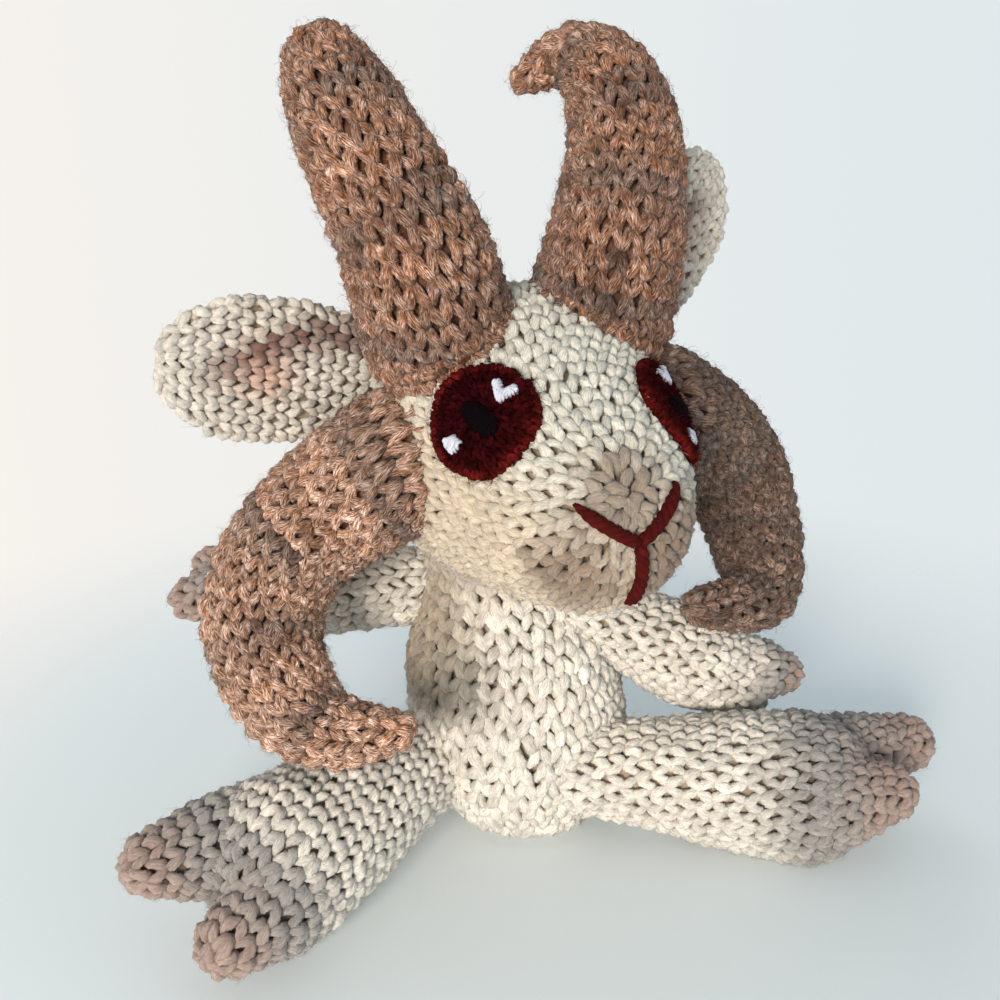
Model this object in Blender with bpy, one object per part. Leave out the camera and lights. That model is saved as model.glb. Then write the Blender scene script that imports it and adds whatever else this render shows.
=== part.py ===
"""Crocheted goat with four horns, sitting on its base with its legs stretched out.

The goat is a stuffed toy made of yarn.  Every piece is worked in rounds as an open
tube or an egg, filled with loose fibre and sewn on with a yarn seam.  It looks along
-Y, its own left is +X, and the origin is the middle of the flat seat under its body.
Lengths are in millimetres here and are turned into metres when a mesh is made.
"""

import math

import bmesh
import bpy
import numpy as np
from mathutils import Matrix, Vector
from mathutils.bvhtree import BVHTree

MM = 0.001

# ---------------------------------------------------------------- driving dimensions
FABRIC = 3.0            # thickness of the crocheted fabric
FABRIC_HORN = 2.4       # and of the horns' thinner yarn
GAP = 0.35              # clearance that touching pieces keep
LOOSE = 0.8             # and the filling to its fabric
YARN = 0.7              # radius of the sewing yarn

# Body: a pear turned about an upright line that leans to the back and the goat's right.
BODY_PROFILE = [(0, 13.5), (1.5, 17), (5, 20.5), (11, 24), (20, 26.8), (32, 26.8),
                (44, 25.3), (55, 21.2), (65, 18.2), (76, 17.2), (90, 17.2)]
BODY_LEAN = Vector((-5.0, 4.8, 74.0))      # the line runs from the origin through here
NECK_HOLE = 9.0                            # radius of the opening under the head

# Head: an egg round three balls, from the skull to the muzzle.
HEAD_CENTRE = Vector((-3.0, -5.6, 102.0))
HEAD_NOD = 6.6                             # degrees, nose down
HEAD_TILT = -3.5                           # degrees, towards the goat's left
SKULL_BALL = (Vector((0, 0, 0)), 33.7)
CHEEK_BALL = (Vector((0, -17, -1.2)), 27.9)
MUZZLE_BALL = (Vector((0, -34, -2.2)), 21.2)

# Horns: centre lines in the head's frame (root to tip) and radii along them.
UPPER_HORN_RADII = [16.2, 14.8, 12.6, 10.6, 7.0, 3.4]
UPPER_HORN_LEFT = [(19, -1, 27), (23, 0, 41.5), (28, 6, 57), (29.5, 15, 70), (25, 26, 76.5),
                   (16, 31.5, 72)]
UPPER_HORN_RIGHT = [(-19, 0.5, 29), (-23.5, -2.5, 46), (-29, 4, 62), (-32, 15, 74), (-30, 27, 79.5),
                    (-16.5, 31, 71)]
LOWER_HORN_RADII = [16.0, 14.0, 13.1, 11.0, 8.0, 4.8]
LOWER_HORN_LEFT = [(31, -3, 1.5), (50.5, 3, -11.5), (61, 1.5, -27), (61, -8.5, -40.5), (53, -21.5, -45),
                   (34, -26.5, -40)]
LOWER_HORN_RIGHT = [(-29.5, -3, 1), (-50.5, 2, -13.5), (-63.5, -2.5, -29.5), (-62.5, -15, -44),
                    (-54.5, -23.5, -49.5), (-43.4, -28.9, -49.3)]

HORN_ROOT_DEPTH = 12.0                     # how far a horn's tube runs on inside the head

# Ears: doubled spoons in the head's frame.
EAR_LENGTH = 52.0
EAR_HALF_WIDTH = 16.0
EAR_HALF_THICKNESS = 3.0
EAR_ROOM = 1.0                             # clearance to the horns beside it
EAR_CUP = 3.0                              # how far the rims curl forward
EAR_ROOTS = {"left": (28, 17, 13), "right": (-26, 17, 13)}
EAR_SWEEP = {"left": 15, "right": -7}      # degrees towards the back
EAR_RISE = {"left": 46, "right": 15.5}     # degrees above the horizontal

ROOT_DEPTH = 6.0                           # how far a limb's tube runs on inside the body

# Limbs: shoulders, wrists, hips and ankles, and the two toes of each cloven hoof.
ARM_RADII = [8.4, 10.6, 12.9, 10.4]
ARMS = {"left": (Vector((13, -8, 55.5)), Vector((53.3, -13.0, 31.7))),
        "right": (Vector((-16.5, 13.5, 59)), Vector((-58.2, 40.5, 56)))}
ARM_HOOF_ROLL = {"left": -64, "right": -11}
ARM_TOES = {"left": ((10, 7), (10, 7)), "right": ((15.6, 7), (15.6, 7))}     # length, spread
ARM_TOE_RADII = [8.3, 8.1, 5.5]
ARM_TOE_SPLIT = 3.0
LEG_RADII = [11.4, 13.4, 16.4, 18.2]
LEGS = {"left": (Vector((10, -20, 19)), Vector((55, -40.5, 14))),
        "right": (Vector((-22, 4, 19)), Vector((-67.8, -22.8, 18.2)))}
LEG_HOOF_ROLL = {"left": 0, "right": -27}
LEG_TOES = {"left": ((30.5, 15.7), (19, 7.9)), "right": ((21.8, 7.9), (23.2, 15.7))}
LEG_TOE_RADII = [11.8, 10.8, 6.8]
LEG_TOE_SPLIT = 7.0
LEG_TOE_LIFT = {"left": 6.0, "right": 0.0}  # how far the toes turn up

# Neck seam: a ring this far under the skull's middle along the neck's axis.
NECK_SEAM_DEPTH = 29.5
NECK_SEAM_RADIUS = 21.2
NECK_DISH_RADIUS = 36.6                    # the body's rim is dished for the turning skull

# Eyes, nose and mouth, placed on the face by azimuth and rise.
EYE_RADIUS = 12.3
EYE_THICKNESS = 2.0
EYE_POINTS = {"left": Vector((20.4, -29.2, 13.2)), "right": Vector((-20.6, -27.0, 19.0))}
PUPIL_SIZE = (4.0, 2.1)
NOSE_HALF_SPREAD = 34
NOSE_END_RISE = 29
NOSE_JOINT_RISE = 7
MOUTH_RISE = -38
NOSE_YARN = 1.25

# Joint ranges in degrees.  The moving pieces' roots are relieved through them.
SHOULDER_RANGE = (-8, 8)
HIP_RANGE = (-10, 10)
EAR_RANGE = (-6, 6)

COLOURS = {
    "cream_yarn": (0.76, 0.68, 0.57),
    "mocha_yarn": (0.42, 0.27, 0.21),
    "oxblood_felt": (0.12, 0.012, 0.015),
    "black_thread": (0.008, 0.006, 0.008),
    "white_thread": (0.85, 0.83, 0.82),
    "red_yarn": (0.2, 0.02, 0.025),
    "stuffing": (0.9, 0.9, 0.88),
}

# ---------------------------------------------------------------- curves and frames


def natural_spline(points, count):
    """Points at even steps along the natural cubic spline through the given ones."""
    pts = np.array([list(p) for p in points], float)
    n = len(pts)
    matrix = np.eye(n)
    right = np.zeros_like(pts)
    for i in range(1, n - 1):
        matrix[i, i - 1:i + 2] = (1, 4, 1)
        right[i] = 6 * (pts[i - 1] - 2 * pts[i] + pts[i + 1])
    bend = np.linalg.solve(matrix, right)
    result = []
    for s in np.linspace(0, n - 1, count):
        i = min(int(s), n - 2)
        b = s - i
        a = 1 - b
        value = a * pts[i] + b * pts[i + 1]
        value = value + ((a ** 3 - a) * bend[i] + (b ** 3 - b) * bend[i + 1]) / 6
        result.append(value)
    return np.array(result)


def spread(values, count):
    """Radii at even steps, straight between the given ones."""
    return np.interp(np.linspace(0, 1, count), np.linspace(0, 1, len(values)), values)


def frames(centres, side):
    """A (side, up, along) frame at each centre, carried along without twisting."""
    result = []
    last = len(centres) - 1
    for i, _ in enumerate(centres):
        along = (centres[min(i + 1, last)] - centres[max(i - 1, 0)]).normalized()
        side = (side - along * side.dot(along)).normalized()
        result.append((side, along.cross(side), along))
    return result


# ---------------------------------------------------------------- meshes


def material(name):
    found = bpy.data.materials.get(name)
    if found:
        return found
    made = bpy.data.materials.new(name)
    made.use_nodes = True
    shader = made.node_tree.nodes["Principled BSDF"]
    shader.inputs["Base Color"].default_value = (*COLOURS[name], 1)
    shader.inputs["Roughness"].default_value = 0.9
    return made


def make_object(name, verts, faces, slot):
    """A mesh object in metres whose faces point out."""
    mesh = bpy.data.meshes.new(name)
    mesh.from_pydata([tuple(Vector(v) * MM) for v in verts], [], faces)
    bm = bmesh.new()
    bm.from_mesh(mesh)
    bmesh.ops.recalc_face_normals(bm, faces=bm.faces)
    bm.to_mesh(mesh)
    bm.free()
    mesh.materials.append(material(slot))
    mesh.shade_smooth()
    obj = bpy.data.objects.new(name, mesh)
    bpy.context.scene.collection.objects.link(obj)
    return obj


def skin(rings, start=None, end=None, closed=False):
    """Quads between rings, with a fan to a point or a flat cap at each end."""
    verts = [v for ring in rings for v in ring]
    count = len(rings[0])
    faces = []
    spans = len(rings) if closed else len(rings) - 1
    for i in range(spans):
        a = i * count
        b = ((i + 1) % len(rings)) * count
        for j in range(count):
            k = (j + 1) % count
            faces.append((a + j, a + k, b + k, b + j))
    if not closed:
        for point, first in ((start, 0), (end, (len(rings) - 1) * count)):
            if point is None:
                faces.append(tuple(range(first, first + count)))
                continue
            tip = len(verts)
            verts.append(point)
            faces.extend((first + j, first + (j + 1) % count, tip) for j in range(count))
    return verts, faces


def ring(centre, side, up, half_width, half_height, sides):
    turns = [2 * math.pi * j / sides for j in range(sides)]
    return [centre + side * math.cos(t) * half_width + up * math.sin(t) * half_height for t in turns]


def tube(centres, radii, sides, inset=0.0, dome=3):
    """Rings round a centre line with a round end, and the point that closes it."""
    axes = frames(centres, Vector((0, 0, 1)) if abs((centres[1] - centres[0]).normalized().z) < 0.8
                  else Vector((1, 0, 0)))
    rings = [ring(c, s, u, r - inset, r - inset, sides) for c, r, (s, u, _) in zip(centres, radii, axes)]
    side, up, along = axes[-1]
    end = radii[-1] - inset
    for i in range(1, dome):
        turn = 0.5 * math.pi * i / dome
        width = end * math.cos(turn)
        rings.append(ring(centres[-1] + along * end * math.sin(turn), side, up, width, width, sides))
    return rings, centres[-1] + along * end


def floor_flat(points, lowest):
    return [Vector((p.x, p.y, max(p.z, lowest))) for p in points]


def plug(name, centres, radii, sides, slot, inset=0.0, lowest=None):
    """A solid filling of a tube's shape."""
    rings, tip = tube(centres, radii, sides, inset)
    verts, faces = skin(rings, end=tip)
    if lowest is not None:
        verts = floor_flat(verts, lowest)
    return make_object(name, verts, faces, slot)


def place(points, frame):
    return [frame @ Vector(p) for p in points]


# ---------------------------------------------------------------- cutting


def combine(target, other, operation):
    """Apply a Boolean of two objects to the first."""
    modifier = target.modifiers.new("combine", "BOOLEAN")
    modifier.object = other
    modifier.operation = operation
    modifier.solver = "EXACT"
    bpy.context.view_layer.update()
    graph = bpy.context.evaluated_depsgraph_get()
    result = bpy.data.meshes.new_from_object(target.evaluated_get(graph))
    target.modifiers.clear()
    target.data = result
    return target


def drop(*objects):
    for obj in objects:
        bpy.data.objects.remove(obj)


def turned(pivot, axis, degrees):
    """The world matrix of a turn about an axis through a point given in millimetres."""
    centre = Vector(pivot) * MM
    turn = Matrix.Rotation(math.radians(degrees), 4, Vector(axis))
    return Matrix.Translation(centre) @ turn @ Matrix.Translation(-centre)


def relieve(target, cutter, poses):
    """Take away from the target what the cutter sweeps over in the given poses."""
    for pose in poses:
        cutter.matrix_world = pose
        combine(target, cutter, "DIFFERENCE")
    cutter.matrix_world = Matrix.Identity(4)


def steps(span, count=5):
    return [span[0] + (span[1] - span[0]) * i / (count - 1) for i in range(count)]


def surface_tree(obj):
    """A search tree of an object's surface, in millimetres."""
    bm = bmesh.new()
    bm.from_mesh(obj.data)
    bmesh.ops.scale(bm, vec=(1 / MM,) * 3, verts=bm.verts)
    tree = BVHTree.FromBMesh(bm)
    bm.free()
    return tree


# ---------------------------------------------------------------- body and head shapes


def body_solid(name, slot, inset=0.0, sides=18):
    """The pear, drawn in by the inset: a fabric's thickness, or less than 0 to grow it."""
    profile = natural_spline(BODY_PROFILE, 15)
    rings = []
    for height, radius in profile:
        centre = BODY_LEAN * (height / BODY_LEAN.z)
        centre.z = max(height, inset)
        width = radius - inset
        rings.append(ring(centre, Vector((1, 0, 0)), Vector((0, 1, 0)), width, width, sides))
    if inset < 0:
        rings[0] = [v + Vector((0, 0, inset)) for v in rings[0]]
    return make_object(name, *skin(rings), slot)


def head_balls():
    ends = [SKULL_BALL, CHEEK_BALL, MUZZLE_BALL]
    rows = natural_spline([(*centre, radius) for centre, radius in ends], 13)
    return [(Vector(row[:3]), row[3]) for row in rows]


def head_surface(direction, balls):
    """The farthest point of the egg from its middle, along a direction in the head's frame."""
    middle = CHEEK_BALL[0]
    best = 0.0
    for centre, radius in balls:
        offset = middle - centre
        b = offset.dot(direction)
        inside = b * b - offset.length_squared + radius * radius
        if inside > 0:
            best = max(best, -b + math.sqrt(inside))
    return best


def head_solid(name, slot, frame, inset=0.0, sides=22, rows=14):
    """The egg, with its poles at the nose and at the back of the skull."""
    balls = head_balls()
    rings = []
    for i in range(1, rows):
        slant = math.pi * i / rows
        row = []
        for j in range(sides):
            turn = 2 * math.pi * j / sides
            direction = Vector((math.sin(slant) * math.cos(turn), -math.cos(slant),
                                math.sin(slant) * math.sin(turn)))
            row.append(CHEEK_BALL[0] + direction * (head_surface(direction, balls) - inset))
        rings.append(row)
    poles = []
    for way in (Vector((0, -1, 0)), Vector((0, 1, 0))):
        poles.append(CHEEK_BALL[0] + way * (head_surface(way, balls) - inset))
    verts, faces = skin(rings, start=poles[0], end=poles[1])
    return make_object(name, place(verts, frame), faces, slot)


# ---------------------------------------------------------------- small pieces


def strand(name, points, radius, slot, closed=False, sides=6):
    """A length of yarn round a list of points."""
    count = len(points)
    rings = []
    side = None
    for i, point in enumerate(points):
        if closed:
            along = (points[(i + 1) % count] - points[i - 1]).normalized()
            middle = sum(points, Vector()) / count
            side = point - middle
        else:
            along = (points[min(i + 1, count - 1)] - points[max(i - 1, 0)]).normalized()
            side = side or Vector((0, -1, 0))
        side = (side - along * side.dot(along)).normalized()
        rings.append(ring(point, side, along.cross(side), radius, radius, sides))
    return make_object(name, *skin(rings, closed=closed), slot)


def patch(name, outline, centre, normal, up, tree, lift, thickness, slot, rings=1):
    """A thin plate that follows the surface under it."""
    side = up.cross(normal).normalized()
    up = normal.cross(side)

    def rest(u, v, height):
        start = centre + side * u + up * v + normal * 20
        near, face_normal, _, _ = tree.ray_cast(start, -normal)
        return near + normal * height

    lower = [[rest(u * k / rings, v * k / rings, lift) for u, v in outline] for k in range(rings, 0, -1)]
    upper = [[rest(u * k / rings, v * k / rings, lift + thickness) for u, v in outline]
             for k in range(1, rings + 1)]
    loops = lower[::-1] + upper[::-1]
    verts, faces = skin(loops, start=rest(0, 0, lift), end=rest(0, 0, lift + thickness))
    return make_object(name, verts, faces, slot)


def ellipse(width, height, count, lean=0.0):
    slope = math.radians(lean)
    points = []
    for j in range(count):
        turn = 2 * math.pi * j / count
        u, v = width * math.cos(turn), height * math.sin(turn)
        points.append((u * math.cos(slope) - v * math.sin(slope), u * math.sin(slope) + v * math.cos(slope)))
    return points


HEART = [(0, -2.6), (1.6, -0.9), (2.2, 0.9), (1.2, 2.0), (0, 1.0), (-1.2, 2.0), (-2.2, 0.9), (-1.6, -0.9)]
DIAMOND = [(0, -2.0), (1.6, -0.5), (2.0, 0.8), (0.2, 2.0), (-1.9, 0.7), (-1.5, -0.8)]


# ---------------------------------------------------------------- the goat's pieces


def head_frame():
    nod = Matrix.Rotation(math.radians(HEAD_NOD), 4, "X")
    tilt = Matrix.Rotation(math.radians(HEAD_TILT), 4, "Y")
    return Matrix.Translation(HEAD_CENTRE) @ nod @ tilt


def neck_axis():
    return (HEAD_CENTRE - BODY_LEAN).normalized()


def make_body():
    shell = body_solid("body_shell", "cream_yarn")
    hollow = body_solid("hollow", "stuffing", FABRIC)
    combine(shell, hollow, "DIFFERENCE")
    drop(hollow)
    stuffing = body_solid("body_stuffing", "stuffing", FABRIC + LOOSE)
    bpy.ops.mesh.primitive_uv_sphere_add(segments=32, ring_count=16, radius=NECK_DISH_RADIUS * MM)
    dish = bpy.context.object
    dish.matrix_world = Matrix.Translation(HEAD_CENTRE * MM)
    combine(shell, dish, "DIFFERENCE")
    combine(stuffing, dish, "DIFFERENCE")
    drop(dish)
    return shell


def make_neck_seam():
    """A ring of yarn square to the neck's axis, just under the skull."""
    axis = neck_axis()
    centre = HEAD_CENTRE - axis * NECK_SEAM_DEPTH
    side = axis.orthogonal().normalized()
    up = axis.cross(side)
    turns = [2 * math.pi * j / 28 for j in range(28)]
    points = [centre + (side * math.cos(t) + up * math.sin(t)) * NECK_SEAM_RADIUS for t in turns]
    strand("neck_seam", points, YARN, "cream_yarn", closed=True, sides=5)


def make_head(frame):
    shell = head_solid("head_shell", "cream_yarn", frame)
    hollow = head_solid("hollow", "stuffing", frame, FABRIC)
    combine(shell, hollow, "DIFFERENCE")
    drop(hollow)
    bpy.ops.mesh.primitive_cylinder_add(vertices=16, radius=NECK_HOLE * MM, depth=16 * MM)
    hole = bpy.context.object
    middle = HEAD_CENTRE - neck_axis() * SKULL_BALL[1]
    upright = neck_axis().to_track_quat("Z", "Y").to_matrix().to_4x4()
    hole.matrix_world = Matrix.Translation(middle * MM) @ upright
    combine(shell, hole, "DIFFERENCE")
    drop(hole)
    head_solid("head_stuffing", "stuffing", frame, FABRIC + LOOSE)
    return shell


def horn_lines(points, radii, frame):
    centres = [frame @ Vector(p) for p in natural_spline(points, 12)]
    widths = list(spread(radii, 12))
    root = centres[0] + (HEAD_CENTRE - centres[0]).normalized() * HORN_ROOT_DEPTH
    return [root] + centres, [widths[0]] + widths


def make_horn(name, points, radii, frame, cutters):
    """A tapering crocheted tube, open where it is sewn to the head, and its filling."""
    centres, widths = horn_lines(points, radii, frame)
    shell = plug(f"{name}_shell", centres, widths, 14, "mocha_yarn")
    hollow = plug("hollow", [centres[0] * 2 - centres[1]] + centres[1:], widths, 14, "stuffing", FABRIC_HORN)
    combine(shell, hollow, "DIFFERENCE")
    drop(hollow)
    stuffing = plug(f"{name}_stuffing", centres, widths, 12, "stuffing", FABRIC_HORN + LOOSE)
    for cutter in cutters:
        combine(shell, cutter, "DIFFERENCE")
        combine(stuffing, cutter, "DIFFERENCE")


def ear_axes(side):
    sign = 1 if side == "left" else -1
    sweep, rise = math.radians(EAR_SWEEP[side]), math.radians(EAR_RISE[side])
    reach = math.cos(rise)
    along = Vector((sign * math.cos(sweep) * reach, math.sin(sweep) * reach, math.sin(rise)))
    level = Vector((-math.sin(sweep) * sign, math.cos(sweep), 0))
    broad = along.cross(level) * sign
    return along, broad.normalized(), -level


def make_ear(side, frame, cutters):
    """A doubled spoon of fabric with its rims curled forward."""
    along, broad, front = ear_axes(side)
    root = Vector(EAR_ROOTS[side])
    rings = []
    for i in range(12):
        s = -0.08 + 1.06 * i / 11
        reach = (s - 0.6) / (0.4 if s > 0.6 else 0.72)
        half = EAR_HALF_WIDTH * math.sqrt(max(0.0, 1 - reach * reach))
        thick = EAR_HALF_THICKNESS * min(1.0, (1.02 - s) / 0.12) ** 0.5
        centre = root + along * (s * EAR_LENGTH)
        points = []
        for point in ring(Vector(), broad, front, half, thick, 14):
            lateral = point.dot(broad) / EAR_HALF_WIDTH
            points.append(centre + point + front * (EAR_CUP * lateral * lateral))
        rings.append(points)
    verts, faces = skin(rings, end=root + along * EAR_LENGTH)
    ear = make_object(f"ear_{side}", place(verts, frame), faces, "cream_yarn")
    pivot = frame @ root
    axis = (frame.to_3x3() @ broad).normalized()
    for cutter in cutters:
        relieve(ear, cutter, [turned(pivot, axis, -angle) for angle in steps(EAR_RANGE)])


def toe_lines(end, along, across, length, spread_out, split, lift, radii):
    base = end + across * split
    tip = end + along * length + across * spread_out + Vector((0, 0, lift))
    centres = [base, base * 0.7 + tip * 0.3, base * 0.4 + tip * 0.6, tip]
    return centres, list(spread(radii, 4))


def limb_solid(name, slot, root, end, radii, toes, split, lift, toe_radii, roll, inset):
    """A limb and the two toes of its hoof in one solid, flat where it would pass the floor."""
    along = (end - root).normalized()
    level = Vector((0, 0, 1)).cross(along).normalized()
    across = Matrix.Rotation(math.radians(roll), 3, along) @ level
    back = root - along * (ROOT_DEPTH + inset)
    centres = [back] + [root.lerp(end, i / 6) for i in range(7)]
    widths = [radii[0]] + list(spread(radii, 7))
    lowest = inset if root.z < 30 else None
    whole = plug(name, centres, widths, 16, slot, inset, lowest)
    for way, (length, spread_out) in zip((1, -1), toes):
        line, width = toe_lines(end, along, across * way, length, spread_out, split, lift, toe_radii)
        toe = plug("toe", line, width, 12, slot, inset, lowest)
        combine(whole, toe, "UNION")
        drop(toe)
    return whole


def make_limb(name, root, end, radii, toes, split, lift, toe_radii, roll, cutter, poses):
    shape = (root, end, radii, toes, split, lift, toe_radii, roll)
    shell = limb_solid(f"{name}_shell", "cream_yarn", *shape, 0.0)
    hollow = limb_solid("hollow", "stuffing", *shape, FABRIC)
    combine(shell, hollow, "DIFFERENCE")
    drop(hollow)
    stuffing = limb_solid(f"{name}_stuffing", "stuffing", *shape, FABRIC + LOOSE)
    relieve(shell, cutter, poses)
    relieve(stuffing, cutter, poses)


def make_eye(side, frame, head_tree):
    """A felt disc on the face with a pupil, a heart and a diamond on it."""
    sign = 1 if side == "left" else -1
    spot, normal, _, _ = head_tree.find_nearest(frame @ EYE_POINTS[side])
    up = Vector((0, 0, 1))
    disc = patch(f"eye_{side}", ellipse(EYE_RADIUS, EYE_RADIUS, 20), spot, normal, up, head_tree, 0.7,
                 EYE_THICKNESS, "oxblood_felt", rings=3)
    tree = surface_tree(disc)
    across = up.cross(normal).normalized()
    rise = normal.cross(across)

    def on_eye(label, outline, u, v, slot):
        patch(f"{label}_{side}", outline, spot + across * u + rise * v, normal, up, tree, 0.35, 0.6, slot)

    on_eye("pupil", ellipse(*PUPIL_SIZE, 12, -20), -1.1 * sign, -0.4, "black_thread")
    on_eye("heart", HEART, 3.4, 5.4, "white_thread")
    on_eye("diamond", DIAMOND, -3.8, -6.3, "white_thread")


def make_nose(frame, head_tree):
    """The yarn lines of the nose and mouth, laid on the muzzle."""
    centre = frame @ MUZZLE_BALL[0]

    def laid(azimuth, rise):
        a, e = math.radians(azimuth), math.radians(rise)
        way = frame.to_3x3() @ Vector((math.sin(a) * math.cos(e), -math.cos(a) * math.cos(e), math.sin(e)))
        near, _, _, _ = head_tree.ray_cast(centre + way * 60, -way)
        return near + way * (NOSE_YARN + GAP + 0.25)

    for side, sign in (("left", 1), ("right", -1)):
        points = []
        for i in range(7):
            t = i / 6
            points.append(laid(sign * (NOSE_HALF_SPREAD * (1 - t) + 5.5 * t),
                               NOSE_END_RISE * (1 - t) + (NOSE_JOINT_RISE + 3) * t))
        strand(f"nose_stitch_{side}", points, NOSE_YARN, "red_yarn")
    mouth_top = NOSE_JOINT_RISE - 2
    drop_points = [laid(0, mouth_top + (MOUTH_RISE - mouth_top) * i / 6) for i in range(7)]
    strand("mouth_stitch", drop_points, NOSE_YARN, "red_yarn")


def swing_axis(root, end):
    """Level, and square to the limb: a turn about it lifts the limb's end."""
    along = end - root
    return Vector((along.x, along.y, 0)).normalized().cross(Vector((0, 0, 1)))


def make_horns_and_ear(side, upper, lower, frame, head_cutter):
    """The two horns of one side, and the ear that is cut to clear them."""

    def grown(points, radii, room):
        return plug("grown", *horn_lines(points, [r + room for r in radii], frame), 14, "stuffing")

    beside = grown(upper, UPPER_HORN_RADII, GAP)
    make_horn(f"upper_horn_{side}", upper, UPPER_HORN_RADII, frame, [head_cutter])
    make_horn(f"lower_horn_{side}", lower, LOWER_HORN_RADII, frame, [head_cutter, beside])
    above = grown(upper, UPPER_HORN_RADII, EAR_ROOM)
    below = grown(lower, LOWER_HORN_RADII, EAR_ROOM)
    make_ear(side, frame, [head_cutter, above, below])
    drop(beside, above, below)


def make_limbs(side, body_cutter):
    """The arm and the leg of one side, with their roots cut free of the body."""
    root, end = ARMS[side]
    axis = swing_axis(root, end)
    poses = [turned(root, axis, -angle) for angle in steps(SHOULDER_RANGE)]
    make_limb(f"arm_{side}", root, end, ARM_RADII, ARM_TOES[side], ARM_TOE_SPLIT, 0.0,
              ARM_TOE_RADII, ARM_HOOF_ROLL[side], body_cutter, poses)
    root, end = LEGS[side]
    poses = [turned(root, (0, 0, 1), -angle) for angle in steps(HIP_RANGE)]
    make_limb(f"leg_{side}", root, end, LEG_RADII, LEG_TOES[side], LEG_TOE_SPLIT, LEG_TOE_LIFT[side],
              LEG_TOE_RADII, LEG_HOOF_ROLL[side], body_cutter, poses)


def main():
    drop(*list(bpy.data.objects))
    frame = head_frame()
    make_body()
    make_neck_seam()
    head_tree = surface_tree(make_head(frame))

    head_cutter = head_solid("head_cutter", "stuffing", frame, -GAP)
    make_horns_and_ear("left", UPPER_HORN_LEFT, LOWER_HORN_LEFT, frame, head_cutter)
    make_horns_and_ear("right", UPPER_HORN_RIGHT, LOWER_HORN_RIGHT, frame, head_cutter)
    drop(head_cutter)

    body_cutter = body_solid("body_cutter", "stuffing", -GAP)
    for side in ("left", "right"):
        make_eye(side, frame, head_tree)
        make_limbs(side, body_cutter)
    drop(body_cutter)
    make_nose(frame, head_tree)


main()
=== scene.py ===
"""Looks of the crocheted goat: every piece worked in yarn, stitch by stitch, round the fixed frame.

Lengths are in millimetres until a mesh is made.  The goat looks along -Y, its own left is +X.
"""

import math

import bpy
import numpy as np
from mathutils import Matrix, Vector


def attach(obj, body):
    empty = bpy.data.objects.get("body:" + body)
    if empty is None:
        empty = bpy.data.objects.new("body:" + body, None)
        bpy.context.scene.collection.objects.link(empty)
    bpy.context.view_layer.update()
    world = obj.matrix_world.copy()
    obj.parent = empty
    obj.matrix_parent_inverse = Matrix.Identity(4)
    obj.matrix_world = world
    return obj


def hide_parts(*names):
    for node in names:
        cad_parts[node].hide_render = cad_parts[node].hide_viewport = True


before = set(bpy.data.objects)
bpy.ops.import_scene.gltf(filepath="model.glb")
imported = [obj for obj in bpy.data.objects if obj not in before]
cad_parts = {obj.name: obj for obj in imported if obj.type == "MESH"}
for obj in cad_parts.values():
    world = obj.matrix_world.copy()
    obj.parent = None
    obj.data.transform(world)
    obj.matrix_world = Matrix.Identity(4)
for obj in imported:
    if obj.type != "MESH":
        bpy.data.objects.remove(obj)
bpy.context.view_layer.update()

MM = 0.001             # metres
rng = np.random.default_rng(24)

# ---- the frame's driving dimensions

BODY_PROFILE = [(0, 13.5), (1.5, 17), (5, 20.5), (11, 24), (20, 26.8), (32, 26.8),
                (44, 25.3), (55, 21.2), (65, 18.2), (76, 17.2), (90, 17.2)]
BODY_LEAN = np.array((-5.0, 4.8, 74.0))
NECK_HEIGHT = 40.0     # above this, the body's fabric ends where it comes
NECK_REACH = 33.0      # this close to the head's centre

HEAD_CENTRE = np.array((-3.0, -5.6, 102.0))
HEAD_NOD = 6.6
HEAD_TILT = -3.5
HEAD_BALLS = [((0, 0, 0), 33.7), ((0, -17, -1.2), 27.9), ((0, -34, -2.2), 21.2)]
CHEEK = np.array(HEAD_BALLS[1][0], float)
MUZZLE = np.array(HEAD_BALLS[2][0], float)
MUZZLE_RADIUS = HEAD_BALLS[2][1]

UPPER_HORN_RADII = [16.2, 14.8, 12.6, 10.6, 7.0, 3.4]
LOWER_HORN_RADII = [16.0, 14.0, 13.1, 11.0, 8.0, 4.8]
HORNS = {
    "upper_horn_left": (UPPER_HORN_RADII, [
        (19, -1, 27), (23, 0, 41.5), (28, 6, 57), (29.5, 15, 70), (25, 26, 76.5), (16, 31.5, 72)]),
    "upper_horn_right": (UPPER_HORN_RADII, [
        (-19, 0.5, 29), (-23.5, -2.5, 46), (-29, 4, 62), (-32, 15, 74), (-30, 27, 79.5), (-16.5, 31, 71)]),
    "lower_horn_left": (LOWER_HORN_RADII, [
        (31, -3, 1.5), (50.5, 3, -11.5), (61, 1.5, -27), (61, -8.5, -40.5), (53, -21.5, -45),
        (34, -26.5, -40)]),
    "lower_horn_right": (LOWER_HORN_RADII, [
        (-29.5, -3, 1), (-50.5, 2, -13.5), (-63.5, -2.5, -29.5), (-62.5, -15, -44),
        (-54.5, -23.5, -49.5), (-43.4, -28.9, -49.3)]),
}
HORN_ROOT_DEPTH = 6.0
HEAD_POLE = 30         # the head's first round is worked this far up from the nose, in degrees

EAR_LENGTH = 52.0
EAR_HALF_WIDTH = 16.0
EAR_HALF_THICKNESS = 3.0
EAR_CUP = 3.0
EAR_WIDEST = 0.6       # share of the length where the ear is widest
EAR_ROOT_TAPER = 0.72  # and how slowly it narrows from there to its root
EAR_ROOTS = {"left": (28, 17, 13), "right": (-26, 17, 13)}
EAR_SWEEP = {"left": 15, "right": -7}
EAR_RISE = {"left": 46, "right": 15.5}

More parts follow.
